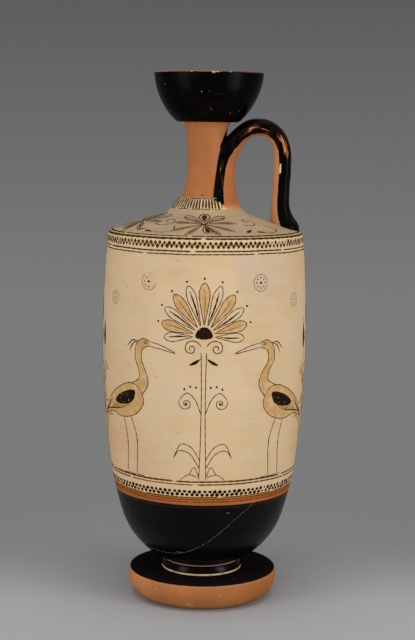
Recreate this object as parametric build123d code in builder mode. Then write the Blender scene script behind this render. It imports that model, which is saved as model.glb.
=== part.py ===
from build123d import *
import os

# Oil flask with a calyx mouth, a slim neck, a flat shoulder, a tall body, a disc foot and a strap handle.
# It is made of clay sections that sit on one another, with spigots and lips, and are joined with slip.
# Millimetres, +Z up. The origin is the centre of the foot's resting plane, and the handle stands along +X.

# Gap left for slip between two fired surfaces that aren't face to face
slip_gap = 0.15

# Foot: thick disc with a rounded side, domed underneath so that it stands on a ring
foot_height = 18.4
foot_radius = 47.9
foot_widest_height = 10.0
foot_rest_radius = 39.8
foot_rest_width = 6.0
foot_edge_radius = 47.4
foot_edge_height = 17.3
foot_hollow_depth = 6.0

# Fillet: ring of clay between foot and body, slightly convex outside
fillet_height = 5.2
fillet_low_radius = 25.8
fillet_top_radius = 24.5
fillet_bulge = 0.7

# Body: hollow, widest above its middle, with a solid tenon under its floor
body_height = 208.4
body_top_radius = 61.6
body_radius = 64.8
body_widest_height = 142.4
lower_wall_radius = 60.1
lower_wall_height = 70.7
bowl_radius = 51.2
bowl_height = 32.4
body_wall = 5.0
body_floor = 8.0
tenon_radius = 14.0
tenon_length = 13.5

# Shoulder: gently sloping disc with a rounded edge, and a lip that drops inside the body's rim
shoulder_height = 17.6
shoulder_edge_width = 2.5
shoulder_edge_rise = 3.9
shoulder_cove_radius = 29.5
shoulder_cove_rise = 13.2
shoulder_collar_thickness = 8.0
shoulder_lip_width = 4.5
shoulder_lip_depth = 5.0

# Neck: slim tube that rises from a cone-shaped collar with a narrow ledge and flares to the mouth,
# with a spigot at each end. The taper and the flare are slopes of its side, as radius over height.
neck_height = 54.4
neck_seat_radius = 22.4
neck_collar_radius = 17.4
neck_collar_height = 6.6
neck_ledge_rise = 0.6
neck_root_radius = 15.0
neck_root_taper = 0.4
neck_waist_radius = 11.8
neck_waist_height = 30.5
neck_throat_radius = 13.1
neck_throat_height = 48.9
neck_top_radius = 15.6
neck_top_flare = 0.75
neck_bore_radius = 7.0
neck_low_spigot_radius = 11.0
neck_top_spigot_radius = 10.4
neck_top_spigot_length = 4.0

# Mouth: calyx with a flat rim and a funnel inside
mouth_height = 30.0
mouth_base_radius = 19.2
mouth_belly_radius = 27.9
mouth_belly_height = 10.4
mouth_rim_radius = 34.1
mouth_rim_width = 5.0
mouth_rim_rounding = 0.8
mouth_base_rounding = 2.5
mouth_funnel_radius = 23.5
mouth_funnel_height = 14.0
mouth_funnel_floor = 6.0

# Handle: rounded strap, luted along the neck, arched over and footed near the shoulder's edge.
# Reaches are from the axis to the middle of the strap, and heights from the shoulder's top.
# Each limb spreads downwards from its top through an ankle to a toe.
strap_width = 19.4
strap_thickness = 10.5
strap_rounding = 4.6
crown_reach = 26.4
crown_height = 51.1
crown_bend_radius = 13.0
neck_limb_reach = 12.7
neck_limb_bend_height = 34.5
neck_limb_bend_radius = 18.0
neck_limb_top_height = 26.0
neck_limb_ankle_height = 10.0
neck_limb_ankle_thickness = 12.8
neck_limb_ankle_width = 28.0
neck_limb_toe_thickness = 27.0
neck_limb_toe_width = 42.0
outer_limb_reach = 47.7
outer_limb_bend_radius = 14.0
outer_limb_top_height = 10.0
outer_limb_ankle_height = -3.5
outer_limb_ankle_reach = 47.2
outer_limb_ankle_thickness = 12.6
outer_limb_ankle_width = 21.5
outer_limb_toe_reach = 50.2
outer_limb_toe_thickness = 21.5
outer_limb_toe_width = 28.0

# Heights of the seats, from the sizes above
fillet_top = foot_height + fillet_height
body_top = fillet_top + body_height
shoulder_top = body_top + shoulder_height
neck_top = shoulder_top + neck_height
mouth_top = neck_top + mouth_height

os.makedirs("parts", exist_ok=True)


def body_side(inset, bottom_radius, bottom_height):
    """Draw the body's side from its rim down to its bottom, set in from the outer face by inset."""
    rim = (body_top_radius - inset, body_top)
    widest = (body_radius - inset, fillet_top + body_widest_height)
    lower = (lower_wall_radius - inset, fillet_top + lower_wall_height)
    bowl = (bowl_radius - inset, fillet_top + bowl_height + inset / 2)
    wall = ThreePointArc(rim, widest, lower)
    hip = TangentArc(lower, bowl, tangent=wall % 1)
    TangentArc(bowl, (bottom_radius, bottom_height), tangent=hip % 1)


def shoulder_side(gap):
    """Draw the shoulder's upper face from the body's rim to the neck's seat, raised by gap."""
    rim = (body_top_radius + gap, body_top)
    edge = (body_top_radius - shoulder_edge_width + gap, body_top + shoulder_edge_rise + gap)
    cove = (shoulder_cove_radius + gap, body_top + shoulder_cove_rise + gap)
    seat = (neck_seat_radius + gap, shoulder_top + gap)
    TangentArc(rim, edge, tangent=(0, 1))
    slope = Line(edge, cove)
    TangentArc(cove, seat, tangent=slope % 1)


def neck_side(gap):
    """Draw the neck's outer face, a moulded collar at its foot and a waisted tube above, widened by gap."""
    seat = (neck_seat_radius + gap, shoulder_top + gap)
    collar = (neck_collar_radius + gap, shoulder_top + neck_collar_height + gap)
    root = (neck_root_radius + gap, shoulder_top + neck_collar_height + neck_ledge_rise + gap)
    Polyline(seat, collar, root)
    Spline(
        root,
        (neck_waist_radius + gap, shoulder_top + neck_waist_height),
        (neck_throat_radius + gap, shoulder_top + neck_throat_height),
        (neck_top_radius + gap, neck_top),
        tangents=[(-neck_root_taper, 1), (neck_top_flare, 1)],
    )


# Foot
socket_radius = tenon_radius + slip_gap
socket_floor = fillet_top - tenon_length - slip_gap
rest_inner_radius = foot_rest_radius - foot_rest_width
with BuildPart() as foot:
    with BuildSketch(Plane.XZ):
        with BuildLine():
            rest = Line((rest_inner_radius, 0), (foot_rest_radius, 0))
            side = ThreePointArc(rest @ 1, (foot_radius, foot_widest_height), (foot_edge_radius, foot_edge_height))
            Polyline(
                side @ 1,
                (fillet_low_radius, foot_height),
                (socket_radius, foot_height),
                (socket_radius, socket_floor),
                (0, socket_floor),
                (0, foot_hollow_depth),
            )
            TangentArc((0, foot_hollow_depth), rest @ 0, tangent=(1, 0))
        make_face()
    revolve(axis=Axis.Z)
foot.part.label = "foot"
export_step(foot.part, "parts/foot.step")

# Fillet ring round the body's tenon
fillet_mid_radius = (fillet_low_radius + fillet_top_radius) / 2 + fillet_bulge
with BuildPart() as foot_fillet:
    with BuildSketch(Plane.XZ):
        with BuildLine():
            ThreePointArc(
                (fillet_low_radius, foot_height),
                (fillet_mid_radius, foot_height + fillet_height / 2),
                (fillet_top_radius, fillet_top),
            )
            Polyline(
                (fillet_top_radius, fillet_top),
                (socket_radius, fillet_top),
                (socket_radius, foot_height),
                (fillet_low_radius, foot_height),
            )
        make_face()
    revolve(axis=Axis.Z)
foot_fillet.part.label = "foot_fillet"
export_step(foot_fillet.part, "parts/foot_fillet.step")

# Body, with the tenon that goes through the fillet into the foot
body_floor_top = fillet_top + body_floor
with BuildPart() as body:
    with BuildSketch(Plane.XZ):
        with BuildLine():
            body_side(0, fillet_top_radius, fillet_top)
            Polyline(
                (fillet_top_radius, fillet_top),
                (tenon_radius, fillet_top),
                (tenon_radius, fillet_top - tenon_length),
                (0, fillet_top - tenon_length),
                (0, body_floor_top),
                (fillet_top_radius - body_wall, body_floor_top),
            )
            body_side(body_wall, fillet_top_radius - body_wall, body_floor_top)
            Line((body_top_radius - body_wall, body_top), (body_top_radius, body_top))
        make_face()
    revolve(axis=Axis.Z)
body.part.label = "body"
export_step(body.part, "parts/body.step")

# Shoulder, with its lip inside the body's rim and a hole for the neck's lower spigot
lip_radius = body_top_radius - body_wall - slip_gap
lip_inner_radius = lip_radius - shoulder_lip_width
neck_hole_radius = neck_low_spigot_radius + slip_gap
collar_bottom = shoulder_top - shoulder_collar_thickness
with BuildPart() as shoulder:
    with BuildSketch(Plane.XZ):
        with BuildLine():
            shoulder_side(0)
            Polyline(
                (neck_seat_radius, shoulder_top),
                (neck_hole_radius, shoulder_top),
                (neck_hole_radius, collar_bottom),
                (lip_inner_radius, body_top),
                (lip_inner_radius, body_top - shoulder_lip_depth),
                (lip_radius, body_top - shoulder_lip_depth),
                (lip_radius, body_top),
                (body_top_radius, body_top),
            )
        make_face()
    revolve(axis=Axis.Z)
shoulder.part.label = "shoulder"
export_step(shoulder.part, "parts/shoulder.step")

# Neck, bored through, with a spigot into the shoulder and one into the mouth
with BuildPart() as neck:
    with BuildSketch(Plane.XZ):
        with BuildLine():
            neck_side(0)
            Polyline(
                (neck_top_radius, neck_top),
                (neck_top_spigot_radius, neck_top),
                (neck_top_spigot_radius, neck_top + neck_top_spigot_length),
                (neck_bore_radius, neck_top + neck_top_spigot_length),
                (neck_bore_radius, collar_bottom),
                (neck_low_spigot_radius, collar_bottom),
                (neck_low_spigot_radius, shoulder_top),
                (neck_seat_radius, shoulder_top),
            )
        make_face()
    revolve(axis=Axis.Z)
neck.part.label = "neck"
export_step(neck.part, "parts/neck.step")

# Mouth, with a socket for the neck's upper spigot under its funnel
mouth_socket_radius = neck_top_spigot_radius + slip_gap
mouth_socket_top = neck_top + neck_top_spigot_length + slip_gap
rim_inner_radius = mouth_rim_radius - mouth_rim_width
with BuildPart() as mouth:
    with BuildSketch(Plane.XZ):
        with BuildLine():
            ThreePointArc(
                (mouth_base_radius, neck_top),
                (mouth_belly_radius, neck_top + mouth_belly_height),
                (mouth_rim_radius, mouth_top),
            )
            Line((mouth_rim_radius, mouth_top), (rim_inner_radius, mouth_top))
            ThreePointArc(
                (rim_inner_radius, mouth_top),
                (mouth_funnel_radius, neck_top + mouth_funnel_height),
                (neck_bore_radius, neck_top + mouth_funnel_floor),
            )
            Polyline(
                (neck_bore_radius, neck_top + mouth_funnel_floor),
                (neck_bore_radius, mouth_socket_top),
                (mouth_socket_radius, mouth_socket_top),
                (mouth_socket_radius, neck_top),
                (mouth_base_radius, neck_top),
            )
        make_face()
    revolve(axis=Axis.Z)
    fillet(mouth.edges().group_by(Axis.Z)[-1], radius=mouth_rim_rounding)
    fillet(mouth.edges().group_by(Axis.Z)[0].sort_by(SortBy.RADIUS)[-1], radius=mouth_base_rounding)
mouth.part.label = "mouth"
export_step(mouth.part, "parts/mouth.step")

# Handle: the strap along its bent line, then a spreading foot under each limb, cut to neck and shoulder.
# A foot's sections are given as height, reach, thickness and width.
section_rounding = min(strap_rounding, strap_thickness * 0.45)
neck_limb_top = shoulder_top + neck_limb_top_height
outer_limb_top = shoulder_top + outer_limb_top_height
neck_limb_foot = (
    (neck_limb_top, neck_limb_reach, strap_thickness, strap_width),
    (
        shoulder_top + neck_limb_ankle_height,
        neck_limb_reach,
        neck_limb_ankle_thickness,
        neck_limb_ankle_width,
    ),
    (collar_bottom, neck_limb_reach, neck_limb_toe_thickness, neck_limb_toe_width),
)
outer_limb_foot = (
    (outer_limb_top, outer_limb_reach, strap_thickness, strap_width),
    (
        shoulder_top + outer_limb_ankle_height,
        outer_limb_ankle_reach,
        outer_limb_ankle_thickness,
        outer_limb_ankle_width,
    ),
    (body_top, outer_limb_toe_reach, outer_limb_toe_thickness, outer_limb_toe_width),
)
with BuildPart() as handle:
    with BuildLine(Plane.XZ) as strap_line:
        FilletPolyline(
            (neck_limb_reach, neck_limb_top),
            (neck_limb_reach, shoulder_top + neck_limb_bend_height),
            (crown_reach, shoulder_top + crown_height),
            (outer_limb_reach, shoulder_top + crown_height),
            (outer_limb_reach, outer_limb_top),
            radius=[neck_limb_bend_radius, crown_bend_radius, outer_limb_bend_radius],
        )
    with BuildSketch(Plane.XY.offset(neck_limb_top)):
        with Locations((neck_limb_reach, 0)):
            RectangleRounded(strap_thickness, strap_width, section_rounding)
    sweep(path=strap_line.wires()[0])
    for limb_foot in (neck_limb_foot, outer_limb_foot):
        for level, reach, thickness, width in limb_foot:
            with BuildSketch(Plane.XY.offset(level)):
                with Locations((reach, 0)):
                    RectangleRounded(thickness, width, section_rounding)
        loft()
    with BuildSketch(Plane.XZ):
        with BuildLine():
            shoulder_side(slip_gap)
            neck_side(slip_gap)
            Polyline(
                (neck_top_radius + slip_gap, neck_top),
                (0, neck_top),
                (0, body_top - shoulder_lip_depth),
                (body_top_radius + slip_gap, body_top - shoulder_lip_depth),
                (body_top_radius + slip_gap, body_top),
            )
        make_face()
    revolve(axis=Axis.Z, mode=Mode.SUBTRACT)
handle.part.label = "handle"
export_step(handle.part, "parts/handle.step")
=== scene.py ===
import math
import random

import bmesh
import bpy
import numpy as np
from mathutils import Matrix, Vector


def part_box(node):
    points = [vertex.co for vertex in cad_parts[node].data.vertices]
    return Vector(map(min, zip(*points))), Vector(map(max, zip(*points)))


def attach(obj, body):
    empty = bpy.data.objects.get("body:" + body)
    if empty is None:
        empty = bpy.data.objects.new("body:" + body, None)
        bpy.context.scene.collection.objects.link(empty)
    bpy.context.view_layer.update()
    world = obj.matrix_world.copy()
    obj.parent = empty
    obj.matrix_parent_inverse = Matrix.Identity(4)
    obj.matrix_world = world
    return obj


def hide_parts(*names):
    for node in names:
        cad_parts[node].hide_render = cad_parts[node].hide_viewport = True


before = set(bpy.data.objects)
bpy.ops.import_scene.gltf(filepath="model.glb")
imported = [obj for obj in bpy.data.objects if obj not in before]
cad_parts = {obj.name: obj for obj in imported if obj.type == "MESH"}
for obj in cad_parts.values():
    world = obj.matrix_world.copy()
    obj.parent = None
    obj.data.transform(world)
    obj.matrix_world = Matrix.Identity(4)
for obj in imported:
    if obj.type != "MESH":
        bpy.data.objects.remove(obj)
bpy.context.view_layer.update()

# Lengths are in millimetres until a mesh is made, and angles run from the front (-Y) towards +X
MM = 0.001


def heights(node):
    """Lowest and highest point of a CAD node."""
    return [corner.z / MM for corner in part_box(node)]


foot_top = heights("foot")[1]
fillet_top = heights("foot_fillet")[1]
body_low, body_top = heights("body")
shoulder_low, shoulder_top = heights("shoulder")
neck_low, neck_high = heights("neck")
neck_top, mouth_top = heights("mouth")

# Radii and heights of the thrown pieces: the solids', drawn closer to the photograph by up to 1.6 mm
foot_radius, foot_radius_height = 47.4, 10.0
foot_rest_radius, foot_rest_width, foot_hollow = 38.2, 4.4, 6.0
foot_edge = (46.9, 17.3)
fillet_low_radius, fillet_middle_radius, fillet_top_radius = 25.7, 25.5, 23.85
fillet_low, bead_height = foot_top - 0.9, 1.0
body_rim, body_widest, body_lower, body_bowl = (61.6, body_top), (64.8, 166.0), (60.2, 94.3), (52.2, 56.0)
body_wall, body_floor, tenon_radius = 5.0, 8.0, 14.0
shoulder_edge, shoulder_cove = (59.1, body_top + 3.9), (29.5, body_top + 13.2)
lip_radius, lip_width, collar_thickness, collar_bore = 56.45, 4.5, 8.0, 11.15
neck_seat_radius, neck_collar, neck_root = 22.4, (17.4, 256.2), (15.0, 256.8)
neck_waist, neck_throat, neck_top_radius, neck_bore = (11.8, 280.1), (13.1, 298.5), 15.6, 7.0
lower_spigot, upper_spigot, slip_gap = 11.0, 10.4, 0.15
mouth_base, mouth_belly, rim_radius, rim_width, rim_rounding = (19.6, 303.2), (28.4, 314.0), 34.5, 5.0, 0.8
funnel, funnel_floor = (23.5, 318.0), 310.0

# How far the pieces stand off the axis towards +X, at their foot and at their top
upright, mouth_lean, foot_lean = (0.0, 0.0), (0.5, 0.95), (0.5, 0.5)

# Fineness of the meshes, reach of a chip, the walls' inset and the height of the brushwork
segments, strap_segments = 384, 96
fine_step, coarse_step, wall_step, turn_step, bend_step = 1.2, 5.0, 0.5, 0.4, 0.3
ring_step, side_step, funnel_step, dome_step, strap_step = 0.2, 0.6, 1.0, 2.0, 0.7
line_step, area_step, slope_points, cone_points, curve_points = 0.8, 1.2, 40, 14, 24
crease_angle = math.radians(38)
chip_level, rim_zone = 0.65, 2.0
thrown_inset = 0.10
relief, relief_edge, wash_relief = 0.06, 0.012, 0.02

# Painted heights, rings and counts, read from the photograph, and the radii that drawings are laid out at
lozenge_rows, round_rows = (231.6, 229.8), (80.1, 78.1)
upper_lines, lower_lines, brown_lines = (227.0, 225.15), (86.5, 84.6), (75.0, 73.4)
ground_end, clay_end = 76.4, 71.1
dot_pitch = 3.12
shoulder_rings = (59.2, 60.85)
tongue_count, tongue_top, tongue_foot = 66, 256.0, 249.9
panel_radius, panel_floor = 64.5, 87.0
mouth_drawing_radius = 30.0

# Colours, as linear values
BLACK = (0.0016, 0.0012, 0.0013)
BROWN_BLACK = (0.0060, 0.0032, 0.0026)
DULL_BLACK = (0.014, 0.0105, 0.0112)
CLAY = (0.435, 0.140, 0.036)
CLAY_DARK = (0.33, 0.100, 0.024)
CLAY_PALE = (0.56, 0.25, 0.10)
CLAY_BROWN = (0.26, 0.070, 0.012)
CLAY_TAN = (0.40, 0.21, 0.10)
RESERVED = (0.72, 0.43, 0.24)
BARE_CHIP = (0.66, 0.46, 0.30)
RIM_SHADE, RIM_CHIP = (0.09, 0.028, 0.012), (0.55, 0.37, 0.21)
BEAD, FILLET_LINE = (0.78, 0.55, 0.36), (0.42, 0.255, 0.165)
FOOT_OCHRE, FOOT_RUBBED, FOOT_DUST = (0.34, 0.155, 0.050), (0.55, 0.31, 0.14), (0.29, 0.19, 0.085)
# FOOT_PALE_AND_LIT: a paler tone of the foot's clay, laid on more strongly along the side's top as painted
# light
FOOT_BLOTCH, FOOT_PALE_AND_LIT = (0.27, 0.105, 0.030), (0.50, 0.255, 0.125)
CREAM = (0.628, 0.460, 0.275)
CREAM_WARM = (0.58, 0.402, 0.225)
CREAM_GREY = (0.585, 0.458, 0.305)
# CREAM_EDGE_SHADE is painted shade for the white ground's sides
CREAM_EDGE_SHADE, CREAM_DULL, CREAM_RUBBED = (0.50, 0.315, 0.135), (0.545, 0.415, 0.300), (0.52, 0.35, 0.19)
BAND_CREAM = (0.61, 0.45, 0.255)
# SHADED_SHOULDER_SLIP: the cream slip of the shoulder in painted shade
SHADED_SHOULDER_SLIP = (0.460, 0.320, 0.178)
SHOULDER_GREY = (0.385, 0.275, 0.162)
PINK_STAIN = (0.57, 0.29, 0.145)
LINE = (0.030, 0.0105, 0.0022)
LINE_THIN = (0.085, 0.040, 0.011)
OCHRE = (0.50, 0.285, 0.105)
PLASTER = (0.40, 0.37, 0.31)

# Brush paints: colour, colour where thin, ground under it, wear and roughness
paints = {
    "net_paint": ((0.042, 0.017, 0.002), LINE_THIN, BAND_CREAM, 0.03, 0.45),
    "dot_paint": ((0.012, 0.0055, 0.002), LINE, BAND_CREAM, 0.03, 0.45),
    "band_paint": ((0.060, 0.025, 0.004), (0.11, 0.050, 0.013), BAND_CREAM, 0.07, 0.45),
    "band_dilute": ((0.075, 0.028, 0.009), (0.20, 0.080, 0.028), CREAM_WARM, 0.06, 0.45),
    "clay_line_paint": ((0.13, 0.036, 0.008), (0.21, 0.062, 0.014), CLAY_BROWN, 0.04, 0.45),
    "tongue_paint": ((0.042, 0.0125, 0.001), (0.095, 0.036, 0.006), BAND_CREAM, 0.03, 0.45),
    "smear_gloss": (BLACK, BROWN_BLACK, CLAY_DARK, 0.05, 0.35),
    "speck": ((0.34, 0.31, 0.26), (0.20, 0.17, 0.14), BROWN_BLACK, 0.0, 0.45),
    "scratch": ((0.020, 0.009, 0.009), (0.012, 0.007, 0.007), BROWN_BLACK, 0.05, 0.45),
    "shoulder_paint": ((0.042, 0.0165, 0.0025), (0.11, 0.050, 0.013), SHADED_SHOULDER_SLIP, 0.05, 0.45),
    "panel_line": (LINE, LINE_THIN, CREAM, 0.09, 0.45),
    "panel_solid": ((0.012, 0.008, 0.005), LINE, CREAM_WARM, 0.09, 0.45),
    "panel_wash": (OCHRE, CREAM_WARM, CREAM_WARM, 0.12, 0.5),
    "crack_fill": ((0.20, 0.185, 0.155), (0.10, 0.093, 0.08), BROWN_BLACK, 0.03, 0.6),
    "scuff": ((0.12, 0.12, 0.10), (0.06, 0.06, 0.05), BROWN_BLACK, 0.08, 0.6),
}


# Outlines

def arc_through(start, middle, end, step):
    """Points of the circular arc from start through middle to end."""
    (ax, ay), (bx, by), (cx, cy) = start, middle, end
    twice = 2 * (ax * (by - cy) + bx * (cy - ay) + cx * (ay - by))
    a2, b2, c2 = ax * ax + ay * ay, bx * bx + by * by, cx * cx + cy * cy
    ux = (a2 * (by - cy) + b2 * (cy - ay) + c2 * (ay - by)) / twice
    uy = (a2 * (cx - bx) + b2 * (ax - cx) + c2 * (bx - ax)) / twice
    first, second, last = (math.atan2(y - uy, x - ux) for x, y in (start, middle, end))
    turn = (last - first) % math.tau
    if (second - first) % math.tau > turn:
        turn -= math.tau
    radius = math.hypot(ax - ux, ay - uy)
    angles = first + turn * np.linspace(0, 1, max(2, round(abs(turn) * radius / step)) + 1)
    return np.stack([ux + radius * np.cos(angles), uy + radius * np.sin(angles)], 1)


def carried_on(line, end, step):
    """A line and the arc that carries on from it, tangent to it, to end."""
    start, before = np.array(line[-1]), np.array(line[-2])
    heading = math.atan2(start[1] - before[1], start[0] - before[0])
    chord = np.array(end) - start
    turn = (math.atan2(chord[1], chord[0]) - heading + math.pi) % math.tau - math.pi
    length = np.hypot(*chord)
    share = np.linspace(0, 1, max(2, round(length / step)) + 1)[1:, None]
    reach = length * np.sin(turn * share) / math.sin(turn)
    angle = heading + turn * share
    return np.vstack([line, start + reach * np.hstack([np.cos(angle), np.sin(angle)])])


def distances(line):
    """Length along a line at each of its points."""
    return np.concatenate([[0], np.cumsum(np.hypot(*np.diff(line[:, :2], axis=0).T))])


def smooth(points, step, closed=False):
    """Evenly spaced points on a smooth curve through the given ones, in any number of dimensions."""
    points = np.array(points, float)
    if closed:
        padded = np.vstack([points[-1:], points, points[:2]])
    else:
        padded = np.vstack([2 * points[:1] - points[1:2], points, 2 * points[-1:] - points[-2:-1]])
    share = np.linspace(0, 1, curve_points, endpoint=False)[:, None]
    runs = []
    for before, start, end, after in zip(padded, padded[1:], padded[2:], padded[3:]):
        leave, arrive = (end - before) / 2, (after - start) / 2
        runs.append((2 * share**3 - 3 * share**2 + 1) * start + (share**3 - 2 * share**2 + share) * leave
                    + (3 * share**2 - 2 * share**3) * end + (share**3 - share**2) * arrive)
    curve = np.vstack(runs + [padded[-2:-1]])
    along = distances(curve)
    even = np.linspace(0, along[-1], max(2, round(along[-1] / step)) + 1)
    return np.stack([np.interp(even, along, column) for column in curve.T], 1)


def hand_thrown(angle, height):
    """How far a thrown wall stands off its true radius, mostly inwards: ovality and throwing marks."""
    oval = 0.035 * np.sin(2 * angle + 0.7) + 0.02 * np.sin(3 * angle + 2.1 + 0.02 * height)
    marks = 0.015 * np.sin(0.9 * height + 0.8 * np.sin(angle)) + 0.01 * np.sin(0.37 * height + angle)
    return -thrown_inset + oval + marks


def radius_at(outline):
    """The outline's radius as a function of height."""
    order = np.argsort(outline[:, 1])
    return lambda height: np.interp(height, outline[order, 1], outline[order, 0])


# Outer outlines, each from its top down
body_outer = arc_through(body_rim, body_widest, body_lower, fine_step)
for joint in (body_bowl, (fillet_top_radius, fillet_top)):
    body_outer = carried_on(body_outer, joint, fine_step)
shoulder_turn = carried_on([(body_rim[0], body_top - 1), body_rim], shoulder_edge, turn_step)[1:]
shoulder_slope = carried_on(np.linspace(shoulder_edge, shoulder_cove, slope_points),
                            (neck_seat_radius, shoulder_top), wall_step)
shoulder_outer = np.vstack([shoulder_turn, shoulder_slope[1:]])[::-1]
neck_tube_line = smooth([(neck_top_radius, neck_top), neck_throat, neck_waist, (12.05, 272.0), (12.95, 265.6),
                         (14.1, 260.0), neck_root], wall_step)
neck_ledge = [(16.8, neck_collar[1] + 0.25), (17.25, neck_collar[1] + 0.1), neck_collar]
neck_cone = np.linspace(neck_collar, (neck_seat_radius, shoulder_top), cone_points)
neck_outer = np.vstack([neck_tube_line, neck_ledge, neck_cone[1:]])
mouth_wall = arc_through((rim_radius - 0.1, mouth_top - rim_rounding), mouth_belly, mouth_base, wall_step)
mouth_base_turn = smooth([(mouth_base[0] + out, mouth_base[1] + up)
                          for out, up in ((1.1, 1.15), (0.1, 0.45), (-0.8, 0.1), (-1.8, 0))], bend_step)
mouth_outer = np.vstack([mouth_wall[mouth_wall[:, 1] > mouth_base[1] + 1.3], mouth_base_turn])
fillet_middle = (fillet_middle_radius, (fillet_low + fillet_top) / 2)
fillet_outer = arc_through((fillet_top_radius, fillet_top), fillet_middle, (fillet_low_radius, fillet_low),
                           ring_step)
foot_side = arc_through(foot_edge, (foot_radius, foot_radius_height), (foot_rest_radius, 0.0), side_step)
foot_upper = np.linspace((fillet_low_radius, fillet_low), foot_edge, slope_points)


# Meshes

def add_piece(name, mesh, material, replaced=None):
    """A mesh as a piece of the object, riding on its one body."""
    mesh.materials.append(material)
    mesh.polygons.foreach_set("use_smooth", [True] * len(mesh.polygons))
    piece = bpy.data.objects.new(name, mesh)
    bpy.context.scene.collection.objects.link(piece)
    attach(piece, "root")
    if replaced:
        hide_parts(replaced)


def mesh_of(name, points, faces, crease=None, **attributes):
    """A mesh from points in millimetres, with named values on its points."""
    mesh = bpy.data.meshes.new(name)
    mesh.from_pydata((points.reshape(-1, 3) * MM).tolist(), [], faces)
    for key, values in attributes.items():
        layer = mesh.attributes.new(key, "FLOAT", "POINT")
        layer.data.foreach_set("value", values.astype(np.float32).ravel())
    shape = bmesh.new()
    shape.from_mesh(mesh)
    bmesh.ops.remove_doubles(shape, verts=shape.verts, dist=1e-8)
    bmesh.ops.recalc_face_normals(shape, faces=shape.faces)
    shape.to_mesh(mesh)
    shape.free()
    if crease:
        mesh.set_sharp_from_angle(angle=crease)
    return mesh


def round_grid(rows, columns):
    """Faces of a grid that closes both ways, as a ring of rings."""
    row, column = np.meshgrid(np.arange(rows), np.arange(columns), indexing="ij")
    below, beside = (row + 1) % rows, (column + 1) % columns
    here, there = row * columns, below * columns
    corners = (here + column, here + beside, there + beside, there + column)
    return np.stack(corners, -1).reshape(-1, 4).tolist()


def around(radius, angle, height, shift=0.0):
    """Points round the axis."""
    return np.stack([radius * np.sin(angle) + shift, -radius * np.cos(angle), height + 0 * radius], -1)


def turned(name, replaced, material, outer, hidden, chips=(), lean=upright):
    """A thrown piece: its visible outline, closed by hidden points, spun round the axis. A chip is (angle in
    degrees, height, size, depth): the wall there is broken inwards, and the worn value is raised."""
    outline = np.vstack([outer, hidden])
    angle = np.linspace(0, math.tau, segments, endpoint=False)[None, :]
    radius, height = outline[:, :1], outline[:, 1:]
    seen = (np.arange(len(outline)) < len(outer))[:, None]
    radius = np.where(seen, radius + hand_thrown(angle, height), radius + 0 * angle)
    height = height + 0 * angle
    worn = np.zeros_like(radius)
    for chip_angle, chip_height, size, depth in chips:
        away = (angle - math.radians(chip_angle) + math.pi) % math.tau - math.pi
        ragged = 0.35 * np.sin(9 * away * radius / size + chip_height)
        uneven = 1 + ragged * np.cos(5 * (height - chip_height) / size)
        inward = outer[np.abs(outer[:, 1] - chip_height) < chip_level, 0].max() - outline[:, :1]
        apart = np.sqrt((away * radius) ** 2 + (height - chip_height) ** 2 + inward ** 2)
        near = np.clip(1.25 - apart / (size * uneven), 0, 1)
        near = np.where(seen, near * near * (3 - 2 * near), 0)
        worn = np.maximum(worn, near)
        radius = radius - depth * near
        drop = 0.6 if chip_height > mouth_top - rim_zone else 0.0
        height = height - drop * depth * near
    shift = np.interp(height, [outline[:, 1].min(), outline[:, 1].max()], lean)
    faces = round_grid(len(outline), segments)
    mesh = mesh_of(name, around(radius, angle, height, shift), faces, crease_angle, worn=worn)
    add_piece(name, mesh, material, replaced)


# Materials

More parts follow.
